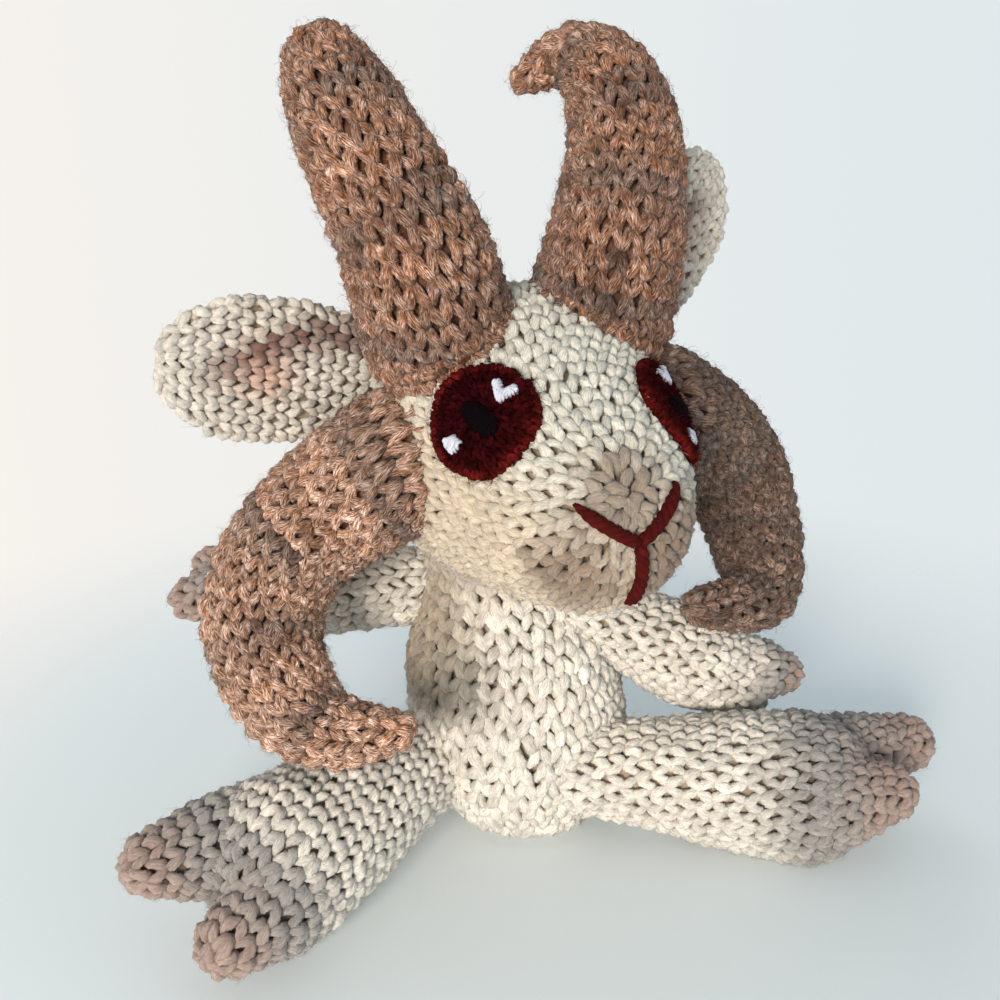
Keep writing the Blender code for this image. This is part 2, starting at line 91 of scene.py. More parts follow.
ARM_RADII = [8.4, 10.6, 12.9, 10.4]
ARMS = {"left": ((13, -8, 55.5), (53.3, -13.0, 31.7)), "right": ((-16.5, 13.5, 59), (-58.2, 40.5, 56))}
ARM_HOOF_ROLL = {"left": -64, "right": -11}
ARM_TOES = {"left": ((10, 7), (10, 7)), "right": ((15.6, 7), (15.6, 7))}
ARM_TOE_RADII = [8.3, 8.1, 5.5]
ARM_TOE_SPLIT = 3.0
LEG_RADII = [11.4, 13.4, 16.4, 18.2]
LEGS = {"left": ((10, -20, 19), (55, -40.5, 14)), "right": ((-22, 4, 19), (-67.8, -22.8, 18.2))}
LEG_HOOF_ROLL = {"left": 0, "right": -27}
LEG_TOES = {"left": ((30.5, 15.7), (19, 7.9)), "right": ((21.8, 7.9), (23.2, 15.7))}
LEG_TOE_RADII = [11.8, 10.8, 6.8]
LEG_TOE_SPLIT = 7.0
LEG_TOE_LIFT = {"left": 6.0, "right": 0.0}
ROOT_DEPTH = 6.0
ROOT_TAIL = 8.0        # a limb's fabric runs this much deeper into the body
ROOT_TAIL_SHARE = 0.7  # and is this thin there, as a share of the limb's own radius

NECK_SEAM_DEPTH = 29.5
NECK_SEAM_RADIUS = 21.2
NECK_SEAM_SINK = 2.2
NECK_YARN = 0.9
NOSE_HALF_SPREAD = 34
NOSE_END_RISE = 29
NOSE_JOINT_RISE = 7
MOUTH_RISE = -38
MOUTH_BEND = 2.0
NOSE_YARN = 1.25
NOSE_SINK = 1.1        # how deep the ends of its strokes go into the fabric
EYE_RADIUS = 12.3
FLOOR_CLEARANCE = 0.05

# ---- yarns (linear colours)

CREAM = np.array((0.86, 0.80, 0.71))
EAR_CREAM = np.array((0.73, 0.68, 0.60))
# painted light: the head's cream as a cooler, dimmer copy at the brow, under the cool light from above, and
# a warmer copy at the right cheek, in the warm key light
COOL_SHADED_BROW_CREAM = np.array((0.72, 0.70, 0.62))
WARM_LIT_CHEEK_CREAM = np.array((0.66, 0.55, 0.42))
CREAM_COOL = np.array((0.78, 0.775, 0.74))
# painted shadow: brown and grey that stand for the shade of the head and horn on the body
PAINTED_SHADOW_BROWN = np.array((0.34, 0.25, 0.155))
PAINTED_SHADOW_GREY = np.array((0.20, 0.20, 0.19))
MUZZLE_BROWN = np.array((0.25, 0.17, 0.118))
MOCHA = np.array((0.37, 0.195, 0.115))
MOCHA_PINK = np.array((0.60, 0.39, 0.285))
MOCHA_DARK = np.array((0.13, 0.088, 0.070))
HOOF_GREY = np.array((0.25, 0.235, 0.235))
HOOF_TIP = np.array((0.42, 0.28, 0.23))
BLUSH = np.array((0.68, 0.37, 0.27))
EAR_BROWN = np.array((0.165, 0.056, 0.035))
MAROON = np.array((0.040, 0.0025, 0.004))
MAROON_RIM = np.array((0.13, 0.010, 0.008))
BLACK = np.array((0.003, 0.002, 0.003))
WHITE = np.array((0.60, 0.63, 0.74))
NOSE_RED = np.array((0.066, 0.006, 0.006))

# a stitch: width, height of a row and yarn radius
BODY_STITCH = (5.1, 4.4, 1.27)
HEAD_STITCH = (4.3, 3.8, 1.02)
LIMB_STITCH = (4.2, 3.6, 1.02)
HORN_STITCH = (4.3, 3.6, 1.06)
EAR_STITCH = (3.5, 3.1, 0.84)
EYE_STITCH = (2.2, 1.9, 0.54)

# how far inside the CAD surface the rounds run, in yarn radii
BODY_INSET = 1.3
HEAD_INSET = 1.25
LIMB_INSET = 1.25
HORN_INSET = 1.35
EAR_INSET = 1.15

# stitches deeper than this inside a neighbour are left out
LIMB_IN_BODY = 6.2
TOE_IN_LIMB = 3.2
HORN_IN_HEAD = 5.0
EAR_IN_HEAD = 3.0
HEAD_IN_HORN = 4.0
HORN_ROOT_STEPS = 14   # points of a horn's line that count as its root


# ---- curves


def natural_spline(points, count):
    """Points at even steps along the natural cubic spline through the given ones."""
    pts = np.array(points, float)
    n = len(pts)
    matrix = np.eye(n)
    right = np.zeros_like(pts)
    for i in range(1, n - 1):
        matrix[i, i - 1:i + 2] = (1, 4, 1)
        right[i] = 6 * (pts[i - 1] - 2 * pts[i] + pts[i + 1])
    bend = np.linalg.solve(matrix, right)
    s = np.linspace(0, n - 1, count)
    i = np.minimum(s.astype(int), n - 2)
    b = (s - i)[:, None]
    a = 1 - b
    return a * pts[i] + b * pts[i + 1] + ((a ** 3 - a) * bend[i] + (b ** 3 - b) * bend[i + 1]) / 6


def spread(values, count):
    """The values again as count steps, linear between them."""
    return np.interp(np.linspace(0, 1, count), np.linspace(0, 1, len(values)), values)


def full_turn(count):
    """Angles at even steps round a circle."""
    return np.linspace(0, 2 * math.pi, count, endpoint=False)


def unit(v):
    return v / np.maximum(np.linalg.norm(v, axis=-1, keepdims=True), 1e-9)


def heading(azimuth, elevation):
    """The unit direction at degrees from -Y towards +X, and degrees up."""
    a, e = math.radians(azimuth), math.radians(elevation)
    return np.array((math.sin(a) * math.cos(e), -math.cos(a) * math.cos(e), math.sin(e)))


def even_steps(points, count, closed=False):
    """A polyline's points again, at even distances along it."""
    if closed:
        points = np.vstack([points, points[:1]])
    lengths = np.r_[0, np.cumsum(np.linalg.norm(np.diff(points, axis=0), axis=1))]
    at = np.linspace(0, lengths[-1], count + 1)[:-1] if closed else np.linspace(0, lengths[-1], count)
    return np.stack([np.interp(at, lengths, points[:, k]) for k in range(3)], axis=1)


def ramp(value, low, high):
    """0 below low, 1 above high, smooth between."""
    t = np.clip((value - low) / (high - low), 0, 1)
    return t * t * (3 - 2 * t)


def ripple(p, scale, phase=0.0):
    """A smooth wandering value from -1 to 1 over space."""
    x, y, z = np.moveaxis(p / scale, -1, 0)
    return (np.sin(x * 2.1 + y * 1.3 + phase) + np.sin(y * 2.7 - z * 1.9 + 1.7 * phase)
            + np.sin(z * 2.3 + x * 1.1 + 2.3 * phase + 1.0)) / 3


# ---- head frame and its egg


def head_matrix():
    """The head's own axes, nodded and tilted."""
    nod = Matrix.Rotation(math.radians(HEAD_NOD), 3, "X")
    tilt = Matrix.Rotation(math.radians(HEAD_TILT), 3, "Y")
    return np.array(nod @ tilt)


HEAD_TURN = head_matrix()


def from_head(points):
    """Points of the head's own frame, placed."""
    return np.asarray(points, float) @ HEAD_TURN.T + HEAD_CENTRE


def to_head(points):
    """Placed points, in the head's own frame."""
    return (np.asarray(points, float) - HEAD_CENTRE) @ HEAD_TURN


def egg_reach(origin, ways):
    """How far the egg's surface lies from a point inside it, along unit directions (head's frame)."""
    rows = natural_spline([(*c, r) for c, r in HEAD_BALLS], 41)
    best = np.zeros(ways.shape[:-1])
    for row in rows:
        offset = origin - row[:3]
        b = ways @ offset
        inside = b * b - offset @ offset + row[3] ** 2
        best = np.maximum(best, np.where(inside > 0, -b + np.sqrt(np.maximum(inside, 0)), 0))
    return best


# ---- surfaces worked in rounds


class Rounds:
    """A surface as loops of points, from the first round to the last."""

    def __init__(self, loops, columns=72):
        loops = np.stack([even_steps(loop, columns, closed=True) for loop in loops])
        self.points = loops
        rows = len(loops)
        along = np.gradient(loops, axis=0)
        around = np.roll(loops, -1, axis=1) - np.roll(loops, 1, axis=1)
        normals = unit(np.cross(around, along))
        outward = loops - loops.mean(axis=1, keepdims=True)
        middle = slice(rows // 4, 3 * rows // 4)
        if (normals[middle] * outward[middle]).sum() < 0:
            normals = -normals
        self.normals = normals
        steps = np.linalg.norm(np.diff(loops, axis=0), axis=2).mean(axis=1)
        self.reach = np.r_[0, np.cumsum(steps)]
        self.girth = np.linalg.norm(np.roll(loops, -1, axis=1) - loops, axis=2).sum(axis=1)

    def _read(self, grid, distance, turn):
        row = np.interp(distance, self.reach, np.arange(len(self.reach)))
        i = np.minimum(row.astype(int), len(self.reach) - 2)
        fr = (row - i)[..., None]
        t = (turn % 1.0) * grid.shape[1]
        j = t.astype(int) % grid.shape[1]
        ft = (t - np.floor(t))[..., None]
        k = (j + 1) % grid.shape[1]
        low = grid[i, j] * (1 - ft) + grid[i, k] * ft
        high = grid[i + 1, j] * (1 - ft) + grid[i + 1, k] * ft
        return low * (1 - fr) + high * fr

    def at(self, distance, turn):
        """Points and outward normals at distances from the first round and fractions of a turn."""
        return self._read(self.points, distance, turn), unit(self._read(self.normals, distance, turn))


def tube_loops(centres, radii, side, inset, columns=72, dome=8):
    """Loops round a centre line, closed by a round end at its last point."""
    loops = []
    last = len(centres) - 1
    turns = full_turn(columns)[:, None]
    for i in range(last + 1):
        along = unit(centres[min(i + 1, last)] - centres[max(i - 1, 0)])
        side = unit(side - along * (side @ along))
        up = np.cross(along, side)
        radius = max(radii[i] - inset, 0.5)
        loops.append(centres[i] + (side * np.cos(turns) + up * np.sin(turns)) * radius)
    for i in range(1, dome):
        slope = 0.5 * math.pi * i / dome
        width = radius * math.cos(slope)
        loops.append(centres[-1] + along * radius * math.sin(slope)
                     + (side * np.cos(turns) + up * np.sin(turns)) * width)
    return loops


# ---- meshes of yarn


def placed(name, data):
    """A new object in the scene."""
    made = bpy.data.objects.new(name, data)
    bpy.context.scene.collection.objects.link(made)
    return made


def ring_quads(rows, cols):
    """Four-cornered faces between rows of vertices, each row a closed ring."""
    i, k = np.indices((rows - 1, cols))
    low, high, after = i * cols, (i + 1) * cols, (k + 1) % cols
    return np.stack([low + k, low + after, high + after, high + k], axis=2).reshape(-1, 4)


class Yarns:
    """Gathers lengths of yarn and sheets of fabric into one mesh."""

    def __init__(self):
        self.verts, self.colours, self.uvs, self.loops, self.sizes = [], [], [], [], []
        self.count = 0

    def add(self, verts, colours, faces, uvs):
        """faces is (n, size) of vertex numbers, uvs (n, size, 2)."""
        self.verts.append(verts.reshape(-1, 3))
        self.colours.append(colours.reshape(-1, 3))
        self.loops.append((faces + self.count).reshape(-1))
        self.sizes.append(np.full(len(faces), faces.shape[1]))
        self.uvs.append(uvs.reshape(-1, 2))
        self.count += verts.reshape(-1, 3).shape[0]

    def faces(self, faces, uvs, base):
        """More faces on vertices that are in already, from vertex number base on."""
        self.loops.append((faces + base).reshape(-1))
        self.sizes.append(np.full(len(faces), faces.shape[1]))
        self.uvs.append(uvs.reshape(-1, 2))

    def strands(self, paths, radii, ups, colours, sides=9, plies=0):
        """Closed tubes, n of p points: paths, ups and colours (n, p, 3), radii (n, p).

        Plies is how many plies show as lobes that twist round each of them.
        """
        n, p, _ = paths.shape
        along = unit(np.gradient(paths, axis=1))
        side = unit(np.cross(along, ups))
        up = np.cross(side, along)
        turn = full_turn(sides) * np.ones((n, p, 1))
        reach = radii[:, :, None] * np.ones(sides)
        if plies:
            start = rng.random((n, 1, 1)) * 2 * math.pi
            turn = turn + start + np.linspace(0, 2 * math.pi * PLY_TURNS, p)[:, None]
            lobes = np.cos(plies * full_turn(sides))
            reach = reach * (1 - PLY_DEPTH * 0.5 * (1 - lobes))
        ring = (side[:, :, None] * (np.cos(turn) * reach)[..., None]
                + up[:, :, None] * (np.sin(turn) * reach)[..., None])
        verts = paths[:, :, None] + ring
        tint = np.repeat(colours[:, :, None], sides, axis=2)
        # painted shade in the grooves between the plies
        if plies:
            tint = tint * (1 - GROOVE_PAINTED_SHADE * PLY_DEPTH * (1 - lobes))[:, None]
        i, k = np.indices((p - 1, sides))
        quads = ring_quads(p, sides)[:, [0, 3, 2, 1]]
        u0, u1, v0, v1 = i / (p - 1), (i + 1) / (p - 1), k / sides, (k + 1) / sides
        marks = np.stack([u0, v0, u1, v0, u1, v1, u0, v1], axis=2).reshape(-1, 4, 2)
        k = np.arange(sides)
        first = np.arange(n)[:, None, None] * (p * sides)
        shift = np.zeros((n, 1, 1, 2))
        shift[:, 0, 0] = rng.random((n, 2)) * (UV_SPREAD, 1.0)
        base = self.count
        self.add(verts, tint, (quads[None] + first).reshape(-1, 4), (marks[None] + shift).reshape(-1, 4, 2))
        for cap, mark in ((k, 0.0), ((p - 1) * sides + k[::-1], 1.0)):
            flat_uv = np.zeros((n, sides, 2))
            flat_uv[..., 0] = mark
            self.faces((cap[None] + first[:, 0]).reshape(-1, sides), flat_uv + shift[:, 0], base)

    def sheet(self, points, colour):
        """A closed skin over loops of points, with a flat face at each end."""
        rows, cols, _ = points.shape
        k = np.arange(cols)
        quads = ring_quads(rows, cols)
        middle = points.mean(axis=(0, 1))
        p = points.reshape(-1, 3) - middle
        volume = (p[quads[:, 0]] * np.cross(p[quads[:, 1]], p[quads[:, 2]])).sum()
        ends = [k[::-1], (rows - 1) * cols + k]
        if volume < 0:
            quads = quads[:, ::-1]
            ends = [e[::-1] for e in ends]
        base = self.count
        self.add(points, np.broadcast_to(colour, points.shape), quads, np.zeros((len(quads), 4, 2)))
        for end in ends:
            self.faces(end[None], np.zeros((1, cols, 2)), base)

    def build(self, name, material, floor=None):
        """One object of all that was added; nothing goes below the floor's height."""
        verts = np.concatenate(self.verts)
        if floor is not None:
            verts[:, 2] = np.maximum(verts[:, 2], floor)
        loops, sizes = np.concatenate(self.loops), np.concatenate(self.sizes)
        mesh = bpy.data.meshes.new(name)
        mesh.vertices.add(len(verts))
        mesh.vertices.foreach_set("co", (verts * MM).astype(np.float32).ravel())
        mesh.loops.add(len(loops))
        mesh.loops.foreach_set("vertex_index", loops.astype(np.int32))
        mesh.polygons.add(len(sizes))
        mesh.polygons.foreach_set("loop_start", (np.cumsum(sizes) - sizes).astype(np.int32))
        mesh.update(calc_edges=True)
        tint = mesh.color_attributes.new("yarn_colour", "FLOAT_COLOR", "POINT")
        rgba = np.ones((len(verts), 4), np.float32)
        rgba[:, :3] = np.concatenate(self.colours)
        tint.data.foreach_set("color", rgba.ravel())
        layer = mesh.uv_layers.new(name="along_yarn")
        layer.data.foreach_set("uv", np.concatenate(self.uvs).astype(np.float32).ravel())
        mesh.validate()
        mesh.shade_smooth()
        mesh.materials.append(material)
        return placed(name, mesh)


# One leg of a single crochet, mirrored for the other: across in stitch widths, along in rows,
# up in yarn radii, and its thickness.
LEG = np.array([
    (0.05, -0.28, -1.50, 0.72),
    (0.09, -0.07, -0.40, 1.06),
    (0.16, 0.16, 0.46, 1.28),
    (0.25, 0.39, 0.82, 1.38),
    (0.34, 0.62, 0.62, 1.34),
    (0.42, 0.84, -0.15, 1.18),
    (0.46, 1.00, -1.40, 0.80),
])
LEG_POINTS = 9
PLIES = 3
PLY_DEPTH = 0.24      # how far the grooves between the plies cut in, in yarn radii
PLY_TURNS = 0.75      # how far the plies wind round one leg
GROOVE_PAINTED_SHADE = 0.35   # painted shade: how much darker the grooves between the plies are
UV_SPREAD = 40.0      # each strand reads its own place along the fibre pattern
LEAN = 0.10           # right-handed stitches lean to one side
DRIFT = 0.34          # and each row is shifted by about a third of a stitch
# how much single legs differ from each other
UNEVEN = dict(width=0.08, place=0.045, row=0.055, height=0.14, girth=0.08, shade=0.06)
RECESS_SHADE_HUE = np.array((1.0, 0.86, 0.70))     # painted shade: the yarn is darker and redder where it goes in
INNER_SKIN_SHADE_HUE = np.array((1.0, 0.84, 0.68))    # painted shade: so is the skin behind the stitches
SKIN_TURNS = 48

FIBRE_LENGTH = (0.9, 2.6)
FIBRE_RADIUS = 0.038
FIBRE_POINTS = 5
FIBRE_SHADE = (0.6, 1.9)


def fuzz(yarns, paths, widths, ups, tints, share):
    """Loose fibres that arch over the strands, share of them for each strand."""
    n = int(len(paths) * share)
    pick = rng.integers(0, len(paths), n)
    at = rng.integers(2, paths.shape[1] - 3, n)
    along = unit(paths[pick, at + 1] - paths[pick, at])
    up = ups[pick, at]
    side = np.cross(along, up)
    turn = rng.uniform(-1.2, 1.2, n)[:, None]
    out = side * np.sin(turn) + up * np.cos(turn)
    root = paths[pick, at] + out * (widths[pick, at] * 0.92)[:, None]
    angle = rng.uniform(0, 2 * math.pi, n)[:, None]
    way = along * np.cos(angle) + side * np.sin(angle) * 0.8
    curl = np.cross(way, up) * rng.normal(0, 0.35, n)[:, None]
    stand = rng.gamma(2.0, 0.16, n)[:, None]
    length = rng.uniform(*FIBRE_LENGTH, n)[:, None, None]
    f = np.linspace(0, 1, FIBRE_POINTS)[:, None]
    arch = way[:, None] * f + curl[:, None] * f * f
    arch = arch + up[:, None] * (stand[:, None] * (f * 2.2 - f * f * 1.7))
    thick = FIBRE_RADIUS * np.linspace(1.0, 0.4, FIBRE_POINTS) * np.ones((n, 1))
    shade = tints[pick, at][:, None] * rng.uniform(*FIBRE_SHADE, (n, 1, 1)) * np.ones((1, FIBRE_POINTS, 1))
    yarns.strands(root[:, None] + arch * length, thick, np.repeat(up[:, None], FIBRE_POINTS, axis=1),
                  np.clip(shade, 0, 1), sides=3)


def crochet(yarns, fibres, rounds, stitch, colour_at, hidden=None, deep=0.84, depth=1.1, loose=2.0):
    """Rows of single crochet over a surface, in one spiral, on an inner skin, with loose fibres; deep sets
    how dark the painted shade is where the yarn dives in and on the skin.
    """
    stop = rounds.reach[-1]
    width, height, radius = stitch
    rows = max(1, round(stop / height))
    tall = stop / rows
    row_at, turn_at, count_at = [], [], []
    phase = 0.0
    for i in range(rows):
        girth = np.interp((i + 0.5) * tall, rounds.reach, rounds.girth)
        count = max(4, round(girth / width))
        done = (np.arange(count) + 0.5) / count
        turn_at.append(phase + done * (1 + DRIFT / count))
        row_at.append(i + done)
        count_at.append(np.full(count, count))
        phase += DRIFT / count
    row_at, turn_at, count_at = (np.concatenate(a).astype(float) for a in (row_at, turn_at, count_at))
    place, normal = rounds.at(row_at * tall, turn_at)
    if hidden is not None:
        keep = ~hidden(place)
        row_at, turn_at, count_at = row_at[keep], turn_at[keep], count_at[keep]
        place, normal = place[keep], normal[keep]
    n = len(row_at)
    shape = natural_spline(LEG, LEG_POINTS)
    paths, widths, ups, tints = [], [], [], []
    base = colour_at(place, row_at * tall / stop, turn_at % 1.0, normal)
    # painted shade: each leg of a stitch darkens and reddens where it dives below the surface
    shade = 1 - (1 - deep * RECESS_SHADE_HUE) * ramp(-shape[:, 2:3], -0.35, 1.0)
    for sign in (1, -1):
        wobble = rng.normal(0, 1, (n, 4))
        x = sign * shape[:, 0] * (1 + UNEVEN["width"] * wobble[:, :1])
        x = x + LEAN * (shape[:, 1] - 0.3) + UNEVEN["place"] * wobble[:, 1:2]
        y = shape[:, 1] + UNEVEN["row"] * wobble[:, 2:3] - 0.5 + 0.07 * sign
        distance = (row_at[:, None] + y) * tall
        spot, out = rounds.at(distance.clip(0, stop), turn_at[:, None] + x / count_at[:, None])
        lift = radius * (shape[:, 2] + UNEVEN["height"] * wobble[:, 3:4])
        paths.append(spot + out * lift[..., None])
        widths.append(radius * shape[:, 3] * (1 + UNEVEN["girth"] * rng.normal(0, 1, (n, 1))))
        ups.append(out)
        uneven = 1 + UNEVEN["shade"] * rng.normal(0, 1, (n, 1, 1))
        tints.append(np.clip(base[:, None] * shade * uneven, 0, 1))
    paths, widths, ups, tints = (np.concatenate(a) for a in (paths, widths, ups, tints))
    yarns.strands(paths, widths, ups, tints, plies=PLIES)
    fuzz(fibres, paths, widths, ups, tints, loose)
    lines, turns = np.meshgrid(np.linspace(0, stop, max(8, rows + 1)),
                               np.linspace(0, 1, SKIN_TURNS, endpoint=False), indexing="ij")
    spots, outs = rounds.at(lines, turns)
    inner = colour_at(spots, lines / stop, turns, outs)
    # painted shade: the skin seen through the holes is a darker, redder copy of the yarn's colour
    yarns.sheet(spots - outs * radius * depth, inner * (0.25 + 0.30 * deep) * INNER_SKIN_SHADE_HUE)


# ---- colours of the pieces


# A piece's colour_at takes points, their share of the way along the piece, their turn round it
# and their outward normals.


def blend_to(colour, other, weight):
    return colour + (other - colour) * weight[..., None]


def mottled(base, p, cool=0.35):
    """Yarn that wanders from base to a cooler cream and changes a little from stitch to stitch."""
    wander = 0.5 + 0.5 * ripple(p, 9.0, 0.4)
    stitchwise = rng.normal(0, 0.05, p.shape[:-1] + (1,))
    return blend_to(base, CREAM_COOL, cool * wander) * (1 + stitchwise)


def blob(p, centre, reach):
    """1 at a centre, fading to 0 over a reach along each axis."""
    return np.exp(-(((p - np.array(centre)) / reach) ** 2).sum(axis=-1))


def body_colour(p, s, turn, normal):
    """Cream with soft brown and grey painted shadow under the chin and on the right flank, where the head
    and the horn shade the body.
    """
    to_right, high = -p[..., 0], p[..., 2]
    # painted shadow on the right flank under the horn and on the chest under the chin; the grey spot is its
    # darkest part
    flank = ramp(to_right, 13, 23) * ramp(high, 30, 44)
    chin = 0.6 * ramp(to_right, 0, 16) * ramp(high, 57, 70)
    colour = blend_to(mottled(CREAM, p), PAINTED_SHADOW_BROWN, 0.80 * np.maximum(flank, chin))
    return blend_to(colour, PAINTED_SHADOW_GREY, 0.70 * blob(p, (-21, -12, 44), (7, 12, 9)))


def muzzle_point(azimuth, rise):
    way = heading(azimuth, rise)
    return MUZZLE + way * egg_reach(MUZZLE, way)


# brown patches on the muzzle: middle, reach and strength; the largest and strongest, on the muzzle's left
# side (+X), also stands for painted shade there
MUZZLE_PATCHES = [(muzzle_point(-2, 32), 15.5, 0.80), (muzzle_point(-34, -16), 14.5, 0.85),
                  (muzzle_point(34, -14), 19.0, 0.95), (muzzle_point(0, -4), 10.0, 0.5)]


def head_colour(p, s, turn, normal):
    """Cream with painted light: cooler and dimmer at the brow, warmer towards the right cheek and lower
    face where the warm key light falls, and brown over the muzzle.
    """
    q = to_head(p)
    # painted light: warmer towards the right cheek and lower face, where the warm key light falls
    cheek = ramp(-0.6 * q[..., 0] - 0.8 * q[..., 2], -8, 14)
    colour = blend_to(mottled(COOL_SHADED_BROW_CREAM, p, 0.25), WARM_LIT_CHEEK_CREAM, 0.9 * cheek)
    brown = np.zeros(q.shape[:-1])
    for centre, reach, strength in MUZZLE_PATCHES:
        away = np.linalg.norm(q - centre, axis=-1) + 2.0 * ripple(p, 4.0)
        brown = np.maximum(brown, strength * (1 - ramp(away, 0.35 * reach, reach)))
    return blend_to(colour, MUZZLE_BROWN, brown)


HORN_BANDS = (0.20, 0.42, 0.64, 0.86)   # shares of the horn's length
HORN_BAND_WIDTH = 0.038
HORN_TIP_LIGHT = 0.28                   # how much lighter the very tip is
# painted light and shade: each horn's mocha made lighter, darker or warmer as the light falls on it; the
# lower left horn is darkest, in the head's shadow
HORN_LIGHT_AND_SHADE = {"upper_horn_left": (0.76, 0.62, 0.53), "upper_horn_right": (0.82, 0.67, 0.57),
             "lower_horn_left": (0.43, 0.42, 0.42), "lower_horn_right": (1.12, 1.05, 1.02)}


def horn_colour(phase, shade):
    """Mocha with darker bands; shade is painted light and shade that tints the whole horn's yarn."""
    def colour_at(p, s, turn, normal):
        wander = 0.5 + 0.5 * ripple(p, 5.0, phase)
        colour = blend_to(np.broadcast_to(MOCHA, p.shape), MOCHA_PINK, 0.6 * wander) * shade
        bands = np.zeros(s.shape)
        for at in HORN_BANDS:
            off = (s - at + 0.02 * np.sin(2 * math.pi * turn + 9 * at + phase)) / HORN_BAND_WIDTH
            bands = np.maximum(bands, np.exp(-off ** 2))
        patchy = 0.4 + 0.6 * ramp(ripple(p, 6.0, phase + 2), -0.6, 0.5)
        colour = blend_to(colour, MOCHA_DARK, 0.75 * bands * patchy)
        colour = colour * (1 + HORN_TIP_LIGHT * (1 - ramp(s, 0.0, 0.35)))[..., None]
        loose = rng.normal(0, 0.15, p.shape[:-1] + (1,))
        warm = rng.normal(0, 0.04, p.shape[:-1] + (1,)) * np.array((0.5, 0.0, -0.5))
        return np.clip(colour * (1 + loose + warm), 0.01, 1)
    return colour_at


def hoof_colour(tips, reach):
    """Cream that turns grey over the toes and brown at their tips."""
    def colour_at(p, s, turn, normal):
        colour = mottled(CREAM, p)
        away = np.min([np.linalg.norm(p - tip, axis=-1) for tip in tips], axis=0)
        away = away + 2.5 * ripple(p, 5.0, 1.0)
        colour = blend_to(colour, HOOF_GREY, 0.85 * (1 - ramp(away, 0.62 * reach, 1.05 * reach)))
        return blend_to(colour, HOOF_TIP, 0.75 * (1 - ramp(away, 0.22 * reach, 0.62 * reach)))
    return colour_at


def ear_colour(root, along, broad, front, rising):
    """A brown streak along the inner ear that turns down towards the tip, with a blush below it.

    Length runs from 0 at the ear's root to 1 at its tip, and lateral from -1 to 1 across it.
    """
    def colour_at(p, s, turn, normal):
        colour = mottled(EAR_CREAM, p)
        q = to_head(p) - root
        length = q @ along / EAR_LENGTH
        lateral = rising * (q @ broad) / EAR_HALF_WIDTH
        inner = ramp(normal @ HEAD_TURN @ front, 0.1, 0.5)
        line = 0.56 - 0.75 * ramp(length, 0.35, 0.95)
        near = np.exp(-((lateral - line) / 0.22) ** 2)
        brown = near * ramp(length, -0.05, 0.10) * (1 - 0.20 * ramp(length, 0.56, 0.68))
        brown = brown * (1 - ramp(length, 0.72, 0.88))
        blush = np.exp(-(((lateral + 0.02) / 0.36) ** 2 + ((length - 0.56) / 0.13) ** 2))
        colour = blend_to(colour, BLUSH, 0.85 * blush * inner)
        return blend_to(colour, EAR_BROWN, 0.92 * brown * inner)
    return colour_at


# ---- materials


def node(tree, kind, inputs=None, **settings):
    """A new shader node; inputs are values or the sockets that feed them."""
    made = tree.nodes.new(f"ShaderNode{kind}")
    for key, value in settings.items():
        setattr(made, key, value)
    for key, value in (inputs or {}).items():
        if isinstance(value, bpy.types.NodeSocket):
            tree.links.new(value, made.inputs[key])
        else:
            made.inputs[key].default_value = value
    return made


def mapped(tree, value, source, target, **settings):
    """A value carried from one range to another."""
    ends = {"Value": value, 1: source[0], 2: source[1], 3: target[0], 4: target[1]}
    return node(tree, "MapRange", ends, **settings).outputs[0]


FIBRE_SCALE = (2.6, 16.0, 1.0)   # the fibre pattern's scale along a strand and round it
FLECK_SCALE = 420.0              # flecks a few millimetres across
YARN_ROUGHNESS = 0.9


